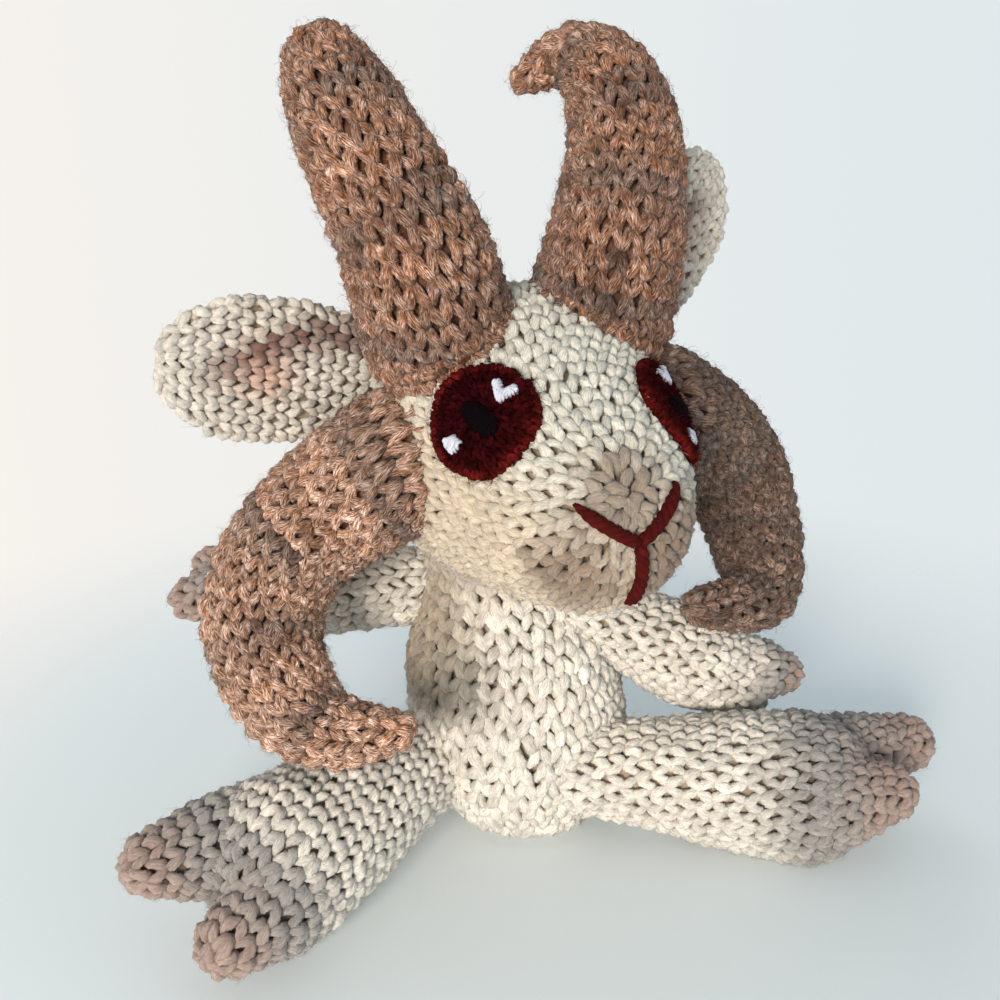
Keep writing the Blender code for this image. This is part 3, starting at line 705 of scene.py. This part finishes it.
def yarn_material(name, streaks, bump, sheen, fleck, pale=0.0, turns=PLY_TURNS, gloss=0.2):
    """Twisted yarn: fine fibres wind round each strand as its plies do.

    Streaks and fleck are how much the fibres and the flecks vary in brightness, and pale is how
    far the brightest of them lose their colour, as a painted highlight, while the darkest grow
    richer, as painted shade.
    """
    made = bpy.data.materials.new(name)
    made.use_nodes = True
    tree = made.node_tree
    tree.nodes.clear()
    colour = node(tree, "Attribute", attribute_name="yarn_colour").outputs["Color"]
    uv = node(tree, "UVMap", uv_map="along_yarn").outputs["UV"]
    parts = node(tree, "SeparateXYZ", {"Vector": uv})
    wound = node(tree, "Math", {0: parts.outputs["X"], 1: turns, 2: parts.outputs["Y"]},
                 operation="MULTIPLY_ADD").outputs[0]
    slid = node(tree, "CombineXYZ", {"X": parts.outputs["X"], "Y": wound, "Z": 0.0}).outputs[0]
    fine = node(tree, "Mapping", {"Vector": slid, "Scale": FIBRE_SCALE}).outputs[0]
    grain = {"Vector": fine, "Scale": 2.0, "Detail": 3.0, "Roughness": 0.65}
    fibre = node(tree, "TexNoise", grain, noise_dimensions="2D").outputs[0]
    place = node(tree, "TexCoord").outputs["Object"]
    cloud = node(tree, "TexNoise", {"Vector": place, "Scale": FLECK_SCALE, "Detail": 2.0}).outputs[0]
    light = mapped(tree, fibre, (0.32, 0.68), (1 - streaks, 1 + streaks), clamp=False)
    spots = mapped(tree, cloud, (0.3, 0.7), (1 - fleck, 1 + fleck))
    product = node(tree, "Math", {0: light, 1: spots}, operation="MULTIPLY").outputs[0]
    tinted = node(tree, "VectorMath", {0: colour, "Scale": product}, operation="SCALE").outputs[0]
    # painted highlight and shade: paler where the fibres are bright, richer where they are dark
    if pale:
        painted_light_saturation = mapped(tree, product, (0.6, 1.9), (1 + 0.35 * pale, 1 - pale))
        tinted = node(tree, "HueSaturation", {"Color": tinted, "Saturation": painted_light_saturation}).outputs[0]
    lumps = node(tree, "Bump", {"Height": fibre, "Strength": bump, "Distance": 0.0004}).outputs[0]
    shader = node(tree, "BsdfPrincipled",
                  {"Base Color": tinted, "Roughness": YARN_ROUGHNESS, "Normal": lumps,
                   "Specular IOR Level": gloss, "Sheen Weight": sheen, "Sheen Roughness": 0.5})
    out = node(tree, "OutputMaterial")
    tree.links.new(shader.outputs[0], out.inputs["Surface"])
    return made


CREAM_YARN = yarn_material("cream_yarn", streaks=0.26, bump=0.9, sheen=0.3, fleck=0.08)
MOCHA_YARN = yarn_material("mocha_yarn", streaks=0.95, bump=1.0, sheen=0.15, fleck=0.35, pale=0.5)
EYE_YARN = yarn_material("eye_yarn", streaks=0.7, bump=0.8, sheen=0.0, fleck=0.6, gloss=0.04)
THREAD = yarn_material("embroidery_thread", streaks=0.06, bump=0.4, sheen=0.0, fleck=0.04, turns=6.0,
                       gloss=0.02)
NOSE_MATERIAL = yarn_material("nose_yarn", streaks=0.25, bump=0.6, sheen=0.0, fleck=0.2, turns=10.0,
                              gloss=0.06)


# ---- pieces


def finished(piece, body, nodes):
    """A piece that stands for CAD nodes and rides on a body."""
    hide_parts(*nodes)
    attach(piece, body)


def finish_fuzz(fibres, name, material, body, floor=None):
    """The loose fibres of a piece, as a piece of their own."""
    piece = fibres.build(f"{name}_fuzz", material, floor)
    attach(piece, body)


def finish_fabric(yarns, fibres, name, material, body, nodes=None, floor=None):
    """A crocheted piece and its loose fibres."""
    nodes = nodes or [f"{name}_shell", f"{name}_stuffing"]
    finished(yarns.build(f"{name}_fabric", material, floor), body, nodes)
    finish_fuzz(fibres, name, material, body, floor)


def spheres_hide(centres, radii, margin):
    """True for points well inside a row of balls."""
    def hidden(points):
        deep = np.zeros(len(points), bool)
        for centre, radius in zip(centres, radii):
            deep |= np.linalg.norm(points - centre, axis=1) < radius - margin
        return deep
    return hidden


def head_hides(margin):
    """True for points well inside the head."""
    rows = natural_spline([(*c, r) for c, r in HEAD_BALLS], 21)
    return spheres_hide(from_head(rows[:, :3]), rows[:, 3], margin)


def horns_hide(margin):
    """True for points of the head that lie under a horn's root."""
    centres, radii = [], []
    for widths, points in HORNS.values():
        line, girths = horn_line(points, widths)
        centres += list(line[:HORN_ROOT_STEPS])
        radii += list(girths[:HORN_ROOT_STEPS])
    return spheres_hide(centres, radii, margin)


def body_radius(height):
    """The body's radius at a height."""
    profile = natural_spline(BODY_PROFILE, 60)
    return np.interp(height, profile[:, 0], profile[:, 1])


def body_hides(margin):
    """True for points well inside the body."""
    def hidden(points):
        height = points[:, 2].clip(0, 78)
        axis = BODY_LEAN[:2] * (height / BODY_LEAN[2])[:, None]
        return np.linalg.norm(points[:, :2] - axis, axis=1) < body_radius(height) - margin
    return hidden


def make_body():
    inset = BODY_INSET * BODY_STITCH[2]
    profile = natural_spline(BODY_PROFILE, 90)
    meridians = []
    for turn in full_turn(96):
        way = np.array((math.cos(turn), math.sin(turn), 0))
        base = [np.array((0, 0, inset)) + way * r for r in np.linspace(1.2, BODY_PROFILE[0][1] - inset, 8)]
        wall = []
        for h, r in profile[1:]:
            centre = BODY_LEAN * (h / BODY_LEAN[2])
            centre[2] = max(h, inset)
            spot = centre + way * (r - inset)
            if h > NECK_HEIGHT and np.linalg.norm(spot - HEAD_CENTRE) < NECK_REACH:
                break
            wall.append(spot)
        meridians.append(even_steps(np.array(base + wall), 70))
    loops = np.stack(meridians, axis=1)
    yarns, fibres = Yarns(), Yarns()
    crochet(yarns, fibres, Rounds(loops), BODY_STITCH, body_colour)
    finish_fabric(yarns, fibres, "body", CREAM_YARN, "body", floor=FLOOR_CLEARANCE)


def make_head():
    inset = HEAD_INSET * HEAD_STITCH[2]
    pole = unit(MUZZLE + MUZZLE_RADIUS * heading(0, HEAD_POLE) - CHEEK)
    side = np.array((1.0, 0, 0))
    up = np.cross(side, pole)
    meridians = []
    slopes = np.linspace(0.03, math.pi - 0.03, 120)[:, None]
    for turn in full_turn(120):
        way = side * math.cos(turn) + up * math.sin(turn)
        ways = pole * np.cos(slopes) + way * np.sin(slopes)
        points = CHEEK + ways * (egg_reach(CHEEK, ways) - inset)[:, None]
        meridians.append(even_steps(points, 90))
    loops = from_head(np.stack(meridians, axis=1))
    yarns, fibres = Yarns(), Yarns()
    crochet(yarns, fibres, Rounds(loops, 96), HEAD_STITCH, head_colour, hidden=horns_hide(HEAD_IN_HORN))
    finish_fabric(yarns, fibres, "head", CREAM_YARN, "head")


def horn_line(points, radii, count=64):
    """A horn's centre line and its radii, with a root that runs into the head."""
    centres = from_head(natural_spline(points, count))
    root = centres[0] + unit(HEAD_CENTRE - centres[0]) * HORN_ROOT_DEPTH
    start = np.linspace(root, centres[0], 6)[:-1]
    return np.vstack([start, centres]), np.r_[np.full(5, radii[0]), spread(radii, count)]


def make_horn(name, phase):
    radii, points = HORNS[name]
    centres, widths = horn_line(points, radii)
    inset = HORN_INSET * HORN_STITCH[2]
    loops = tube_loops(centres, widths, np.array((0.3, 0.9, 0.2)), inset)
    surface = Rounds(loops[::-1])
    # painted light and shade for this horn
    colour = horn_colour(phase, np.array(HORN_LIGHT_AND_SHADE[name]))
    yarns, fibres = Yarns(), Yarns()
    # painted shade: the horns' yarn darkens strongly where it dives in
    crochet(yarns, fibres, surface, HORN_STITCH, colour, hidden=head_hides(HORN_IN_HEAD), deep=0.36,
            loose=7.0)
    finish_fabric(yarns, fibres, name, MOCHA_YARN, "head")


def ear_axes(side):
    """An ear's directions in the head's frame: along it, across it and out of its front."""
    sign = 1 if side == "left" else -1
    sweep, rise = math.radians(EAR_SWEEP[side]), math.radians(EAR_RISE[side])
    reach = math.cos(rise)
    along = np.array((sign * math.cos(sweep) * reach, math.sin(sweep) * reach, math.sin(rise)))
    level = np.array((-math.sin(sweep) * sign, math.cos(sweep), 0))
    return along, unit(np.cross(along, level) * sign), -level


def make_ear(side):
    along, broad, front = ear_axes(side)
    root = np.array(EAR_ROOTS[side], float)
    inset = EAR_INSET * EAR_STITCH[2]
    turns = full_turn(96)
    loops = []
    for s in np.linspace(0.985, 0.0, 40):
        reach = (s - EAR_WIDEST) / (1 - EAR_WIDEST if s > EAR_WIDEST else EAR_ROOT_TAPER)
        half = EAR_HALF_WIDTH * math.sqrt(max(0.0, 1 - reach * reach))
        thick = EAR_HALF_THICKNESS * min(1.0, (1.02 - s) / 0.12) ** 0.5
        wide = max(half - inset, 1.0)
        tall = max(thick - inset, 0.5)
        across = wide * np.cos(turns)[:, None]
        depth = tall * np.sin(turns)[:, None] + EAR_CUP * (across / EAR_HALF_WIDTH) ** 2
        loops.append(from_head(root + along * (s * EAR_LENGTH) + broad * across + front * depth))
    rising = 1.0 if broad[2] > 0 else -1.0
    colour = ear_colour(root, along, broad, front, rising)
    yarns, fibres = Yarns(), Yarns()
    crochet(yarns, fibres, Rounds(loops, 96), EAR_STITCH, colour, hidden=head_hides(EAR_IN_HEAD), depth=0.9)
    name = f"ear_{side}"
    finish_fabric(yarns, fibres, name, CREAM_YARN, name, nodes=[name])


def make_limb(name, root, end, radii, toes, split, lift, toe_radii, roll, flat):
    """An arm or leg that ends in a hoof of two toes; a flat one rests on the floor."""
    root, end = np.array(root, float), np.array(end, float)
    along = unit(end - root)
    level = unit(np.cross((0, 0, 1), along))
    across = np.array(Matrix.Rotation(math.radians(roll), 3, Vector(along)) @ Vector(level))
    inset = LIMB_INSET * LIMB_STITCH[2]
    count = 40
    centres = np.vstack([root - along * (ROOT_DEPTH + ROOT_TAIL), root - along * ROOT_DEPTH,
                         np.linspace(root, end, count)])
    widths = np.r_[ROOT_TAIL_SHARE * radii[0], radii[0], spread(radii, count)]
    toe_lines = []
    for way, (length, apart) in zip((1, -1), toes):
        base = end + across * way * split
        tip = end + along * length + across * way * apart + np.array((0, 0, lift))
        toe_lines.append((np.linspace(base, tip, 24), spread(toe_radii, 24)))
    tips = [line[-1] + along * girths[-1] for line, girths in toe_lines]
    reach = toes[0][0] + toe_radii[-1] + 4
    colour = hoof_colour(tips, reach)
    yarns, fibres = Yarns(), Yarns()

    def worked(line, girths, hidden):
        loops = tube_loops(line, girths, across, inset)
        if flat:
            loops = [np.column_stack([loop[:, :2], np.maximum(loop[:, 2], inset)]) for loop in loops]
        crochet(yarns, fibres, Rounds(loops[::-1]), LIMB_STITCH, colour, hidden=hidden)

    def in_toes(points):
        deep = np.zeros(len(points), bool)
        for line, girths in toe_lines:
            deep |= spheres_hide(line, girths, TOE_IN_LIMB)(points)
        return deep

    in_body = body_hides(LIMB_IN_BODY)
    worked(centres, widths, lambda p: in_toes(p) | in_body(p))
    in_limb = spheres_hide(centres, widths, TOE_IN_LIMB)
    for i, (line, girths) in enumerate(toe_lines):
        in_other = spheres_hide(*toe_lines[1 - i], TOE_IN_LIMB)
        worked(line, girths, lambda p, b=in_other: in_limb(p) | b(p))
    floor = FLOOR_CLEARANCE if flat else None
    finish_fabric(yarns, fibres, name, CREAM_YARN, name, floor=floor)


def node_points(name):
    """A CAD node's vertices."""
    mesh = bpy.data.objects[name].data
    points = np.empty(len(mesh.vertices) * 3)
    mesh.vertices.foreach_get("co", points)
    return points.reshape(-1, 3) / MM


def eye_frame(side):
    """The eye's middle on the face, and its across, rise and outward directions."""
    points = node_points(f"eye_{side}")
    middle = points.mean(axis=0)
    out = np.linalg.svd(points - middle)[2][2]
    if out @ (middle - from_head(CHEEK)) < 0:
        out = -out
    across = unit(np.cross((0, 0, 1), out))
    return middle, across, np.cross(out, across), out


def on_face(points, lift):
    """Points moved onto the face, and then out from it."""
    q = to_head(points)
    ways = unit(q - CHEEK)
    lift = np.asarray(lift, float)
    return from_head(CHEEK + ways * (egg_reach(CHEEK, ways) + lift)[..., None]), unit(ways @ HEAD_TURN.T)


def make_eye(side):
    """A domed disc of fine stitches with a slightly uneven edge and a lighter rim."""
    middle, across, rise, out = eye_frame(side)
    edge = EYE_RADIUS - EYE_STITCH[2]
    turns = full_turn(72)
    loops = []
    for f in np.linspace(0.05, 1.0, 30):
        reach = edge * min(1.0, f * 1.08) * (1 + 0.028 * np.sin(5 * turns + 1.0) * f)
        high = 1.75 - 1.3 * ramp(np.full(72, f), 0.86, 1.0)
        spots = middle + across * (np.cos(turns) * reach)[:, None] + rise * (np.sin(turns) * reach)[:, None]
        loops.append(on_face(spots, high)[0])

    def colour_at(p, s, turn, normal):
        rim = ramp(np.linalg.norm(p - middle, axis=-1), 9.6, 11.9)
        colour = blend_to(np.broadcast_to(MAROON, p.shape), MAROON_RIM, 0.9 * rim)
        return np.clip(colour * (1 + rng.normal(0, 0.12, p.shape[:-1] + (1,))), 0.001, 1)

    yarns, fibres = Yarns(), Yarns()
    surface = Rounds(loops)
    if (surface.normals[5] @ out).mean() < 0:
        surface.normals = -surface.normals
    crochet(yarns, fibres, surface, EYE_STITCH, colour_at, deep=0.7, depth=0.6, loose=9.0)
    piece = yarns.build(f"eye_{side}_disc", EYE_YARN)
    finished(piece, "head", [f"eye_{side}"])
    finish_fuzz(fibres, f"eye_{side}", EYE_YARN, "head")


SATIN_PITCH = 1.35       # between threads, in thread radii
SATIN_SHORTEST = 0.5     # shorter threads are left out
SATIN_HEIGHT = 3.0       # the threads' height over the face, before they dip at both ends


def satin(name, outline, side, thread, colour, node_name, along_angle):
    """Satin stitch: threads side by side that fill an outline on the eye."""
    middle, across, rise, _ = eye_frame(side)
    spot = node_points(node_name).mean(axis=0)
    u0, v0 = (spot - middle) @ across, (spot - middle) @ rise
    a = math.radians(along_angle)
    run, step = np.array((math.cos(a), math.sin(a))), np.array((-math.sin(a), math.cos(a)))
    corners = np.array(outline)
    s, t = corners @ run, corners @ step
    paths = []
    offsets = np.arange(t.min() + thread * 0.5, t.max(), thread * SATIN_PITCH)
    for offset in offsets:
        hits = []
        for i in range(len(corners)):
            j = (i + 1) % len(corners)
            if (t[i] - offset) * (t[j] - offset) < 0:
                f = (offset - t[i]) / (t[j] - t[i])
                hits.append(s[i] + (s[j] - s[i]) * f)
        hits.sort()
        for low, high in zip(hits[::2], hits[1::2]):
            if high - low < SATIN_SHORTEST:
                continue
            f = np.linspace(0, 1, 9)
            line = low + (high - low) * f
            flat = run * line[:, None] + step * (offset + rng.normal(0, 0.03))
            spots = middle + across * (u0 + flat[:, :1]) + rise * (v0 + flat[:, 1:])
            height = SATIN_HEIGHT - 1.1 * (2 * f - 1) ** 6 + 0.25 * np.sin(math.pi * f)
            paths.append(on_face(spots, height))
    points = np.stack([p for p, _ in paths])
    ups = np.stack([n for _, n in paths])
    n, p, _ = points.shape
    radii = np.full((n, p), thread) * (1 + 0.05 * rng.normal(0, 1, (n, 1)))
    tints = np.broadcast_to(colour, points.shape) * (1 + 0.05 * rng.normal(0, 1, (n, 1, 1)))
    yarns = Yarns()
    yarns.strands(points, radii, ups, np.clip(tints, 0, 1))
    piece = yarns.build(name, THREAD)
    finished(piece, "head", [node_name])


def ellipse(width, height, count, lean):
    """Points round an ellipse that leans by some degrees."""
    cos, sin = math.cos(math.radians(lean)), math.sin(math.radians(lean))
    turn = full_turn(count)
    u, v = width * np.cos(turn), height * np.sin(turn)
    return np.stack([u * cos - v * sin, u * sin + v * cos], axis=1)


HEART = [(0, -2.6), (1.5, -1.1), (2.9, 0.7), (2.0, 2.1), (0.1, 0.4), (-1.5, 2.5), (-2.6, 1.5), (-1.4, -0.8)]
DIAMOND = [(0, -2.1), (1.7, -0.5), (2.1, 0.8), (0.2, 2.1), (-2.0, 0.7), (-1.6, -0.8)]


PLY_PITCH = 5.5          # the length over which the plies of a single yarn make one turn
PLY_OFFSET = 0.46        # their distance from its centre and their radius, in yarn radii
PLY_RADIUS = 0.62
TAPERED_TO = 0.30        # how thin a tapered end becomes, as a share of its thickness


def plied(name, node_name, material, body, path, ups, radius, colour, tapers=(1.6, 1.6)):
    """A piece of yarn as plies wound round each other, thinning over the taper length at each end."""
    yarns = Yarns()
    length = np.r_[0, np.cumsum(np.linalg.norm(np.diff(path, axis=0), axis=1))]
    along = unit(np.gradient(path, axis=0))
    side = unit(np.cross(along, ups))
    up = np.cross(side, along)
    from_end = np.minimum(length / tapers[0], (length[-1] - length) / tapers[1])
    fade = TAPERED_TO + (1 - TAPERED_TO) * np.clip(from_end, 0, 1)
    for i in range(PLIES):
        turn = 2 * math.pi * (length / PLY_PITCH + i / PLIES)
        off = side * np.cos(turn)[:, None] + up * np.sin(turn)[:, None]
        line = path + off * (radius * PLY_OFFSET * fade)[:, None]
        widths = radius * PLY_RADIUS * fade
        tint = np.broadcast_to(colour, line.shape) * (1 + 0.08 * rng.normal(0, 1, (1, 3)))
        yarns.strands(line[None], widths[None], ups[None], np.clip(tint, 0, 1)[None], sides=10)
    finished(yarns.build(name, material), body, [node_name])


def muzzle_line(stations, lift):
    """A line over the muzzle through stations of azimuth and rise, with its outward directions."""
    spots = []
    ups = []
    for azimuth, rise in stations:
        way = heading(azimuth, rise)
        spots.append(from_head(MUZZLE + way * (egg_reach(MUZZLE, way) + lift)))
        ups.append(way @ HEAD_TURN.T)
    return np.array(spots), np.array(ups)


def make_nose():
    """Two strokes of yarn that meet below the nose, and the mouth's stroke down from there."""
    f = np.linspace(0, 1, 40)
    for side, sign in (("left", 1), ("right", -1)):
        stations = zip(sign * NOSE_HALF_SPREAD * (1 - f), NOSE_END_RISE * (1 - f) + NOSE_JOINT_RISE * f)
        path, ups = muzzle_line(stations, NOSE_YARN)
        path -= ups * (NOSE_SINK * (np.abs(2 * f - 1) ** 10))[:, None]
        plied(f"nose_line_{side}", f"nose_stitch_{side}", NOSE_MATERIAL, "head", path, ups,
              NOSE_YARN * 1.05, NOSE_RED, tapers=(4.5, 1.2))
    stations = zip(MOUTH_BEND * np.sin(math.pi * f), NOSE_JOINT_RISE + (MOUTH_RISE - NOSE_JOINT_RISE) * f)
    path, ups = muzzle_line(stations, NOSE_YARN)
    path -= ups * (NOSE_SINK * f ** 10)[:, None]
    plied("mouth_line", "mouth_stitch", NOSE_MATERIAL, "head", path, ups,
          NOSE_YARN * 1.05, NOSE_RED, tapers=(1.2, 4.0))


def make_neck_seam():
    """Yarn whipped over the neck's joint, its cream darkened as painted shade under the head."""
    axis = unit(HEAD_CENTRE - BODY_LEAN)
    centre = HEAD_CENTRE - axis * NECK_SEAM_DEPTH
    side = unit(np.cross(axis, (0, 1, 0)))
    up = np.cross(axis, side)
    turns = np.linspace(0, 2 * math.pi, 181)
    ring = side * np.cos(turns)[:, None] + up * np.sin(turns)[:, None]
    path = centre + ring * (NECK_SEAM_RADIUS - NECK_SEAM_SINK)
    # painted shade: the seam's cream at 0.6 of its brightness, for the shade under the head
    plied("neck_seam_yarn", "neck_seam", CREAM_YARN, "neck", path, ring, NECK_YARN,
          CREAM * 0.6)


# ---- floor, light and camera


# metres from here on
FLOOR_REACH = 3.0
FLOOR_FADE = (0.10, 0.27)     # the floor turns into the pale room between these distances
FLOOR_COLOUR = (0.76, 0.825, 0.855)


def make_floor():
    """A pale floor that fades into the room further off."""
    mesh = bpy.data.meshes.new("floor")
    corners = [(x * FLOOR_REACH, y * FLOOR_REACH, 0) for x, y in ((-1, -1), (1, -1), (1, 1), (-1, 1))]
    mesh.from_pydata(corners, [], [(0, 1, 2, 3)])
    floor = placed("floor", mesh)
    made = bpy.data.materials.new("floor")
    made.use_nodes = True
    tree = made.node_tree
    shader = tree.nodes["Principled BSDF"]
    shader.inputs["Base Color"].default_value = (*FLOOR_COLOUR, 1)
    shader.inputs["Roughness"].default_value = 0.8
    place = node(tree, "TexCoord").outputs["Object"]
    away = node(tree, "VectorMath", {0: place}, operation="LENGTH").outputs["Value"]
    gone = mapped(tree, away, FLOOR_FADE, (0.0, 1.0), interpolation_type="SMOOTHSTEP")
    clear = node(tree, "BsdfTransparent")
    mixed = node(tree, "MixShader", {0: gone, 1: shader.outputs[0], 2: clear.outputs[0]})
    tree.links.new(mixed.outputs[0], tree.nodes["Material Output"].inputs["Surface"])
    mesh.materials.append(made)


def area_light(name, place, aim, size, watts, colour):
    """A soft round light that faces its aim."""
    data = bpy.data.lights.new(name, "AREA")
    data.shape = "DISK"
    data.size = size
    data.energy = watts
    data.color = colour
    light = placed(name, data)
    light.location = place
    light.rotation_euler = (Vector(place) - Vector(aim)).to_track_quat("Z", "Y").to_euler()


ROOM_WARM = (0.985, 0.945, 0.895)
ROOM_COOL = (0.76, 0.84, 0.87)
ROOM_TOP = (0.36, 0.42, 0.45)
ROOM_STRENGTH = 0.95
WARM_TO_COOL = (-0.10, 0.80)  # shares of the way towards +X, and up, over which the room changes
WALL_TO_TOP = (0.25, 0.80)


def make_sky():
    """A pale room, warm towards -X, cool towards +X and dimmer overhead."""
    world = bpy.data.worlds.new("studio")
    bpy.context.scene.world = world
    world.use_nodes = True
    tree = world.node_tree
    way = node(tree, "TexCoord").outputs["Generated"]
    parts = node(tree, "SeparateXYZ", {"Vector": way})
    share = mapped(tree, parts.outputs["X"], WARM_TO_COOL, (0.0, 1.0))
    walls = node(tree, "Mix", {"Factor": share}, data_type="RGBA")
    walls.inputs[6].default_value = (*ROOM_WARM, 1)
    walls.inputs[7].default_value = (*ROOM_COOL, 1)
    high = mapped(tree, parts.outputs["Z"], WALL_TO_TOP, (0.0, 1.0))
    whole = node(tree, "Mix", {"Factor": high}, data_type="RGBA")
    tree.links.new(walls.outputs[2], whole.inputs[6])
    whole.inputs[7].default_value = (*ROOM_TOP, 1)
    room = tree.nodes["Background"]
    tree.links.new(whole.outputs[2], room.inputs["Color"])
    room.inputs["Strength"].default_value = ROOM_STRENGTH


def make_light():
    make_sky()
    middle = (0, 0, 0.08)
    area_light("key", (-0.62, -0.80, 0.34), middle, 0.34, 10.8, (1.0, 0.92, 0.81))
    area_light("fill", (0.9, -0.5, 0.6), middle, 0.9, 0.7, (0.70, 0.87, 1.0))
    area_light("back", (0.15, 0.95, 0.50), middle, 0.8, 2.6, (0.96, 0.98, 1.0))


CAMERA = dict(azimuth=-21.87, elevation=20.13, roll=-0.93, target=(1.3, 19.0, 77.3), distance=286.3,
              lens=40.3)      # degrees and millimetres


def make_camera():
    a, r = math.radians(CAMERA["azimuth"]), math.radians(CAMERA["roll"])
    back = Vector(heading(CAMERA["azimuth"], CAMERA["elevation"]))
    level = Vector((math.cos(a), math.sin(a), 0))
    up = back.cross(level)
    right = level * math.cos(r) + up * math.sin(r)
    up = back.cross(right)
    data = bpy.data.cameras.new("camera")
    data.lens = CAMERA["lens"]
    data.sensor_width = 36.0
    data.clip_start = 0.01
    camera = placed("camera", data)
    turn = Matrix((right, up, back)).transposed().to_4x4()
    place = Vector(CAMERA["target"]) * MM + back * CAMERA["distance"] * MM
    camera.matrix_world = Matrix.Translation(place) @ turn
    bpy.context.scene.camera = camera


# ---- making it all

make_camera()
make_floor()
make_light()
bpy.context.scene.view_settings.view_transform = "Standard"

make_body()
make_neck_seam()
make_head()
for number, horn in enumerate(HORNS):
    make_horn(horn, 1.7 * number)
for side in ("left", "right"):
    make_ear(side)
    make_limb(f"arm_{side}", *ARMS[side], ARM_RADII, ARM_TOES[side], ARM_TOE_SPLIT, 0.0, ARM_TOE_RADII,
              ARM_HOOF_ROLL[side], flat=False)
    make_limb(f"leg_{side}", *LEGS[side], LEG_RADII, LEG_TOES[side], LEG_TOE_SPLIT,
              LEG_TOE_LIFT[side], LEG_TOE_RADII, LEG_HOOF_ROLL[side], flat=True)
    make_eye(side)
    satin(f"pupil_{side}_satin", ellipse(4.6, 2.6, 28, -26), side, 0.42, BLACK,
          f"pupil_{side}", 70)
    satin(f"heart_{side}_satin", HEART, side, 0.36, WHITE, f"heart_{side}", 90)
    satin(f"diamond_{side}_satin", DIAMOND, side, 0.36, WHITE, f"diamond_{side}", 75)
make_nose()

bpy.context.view_layer.update()
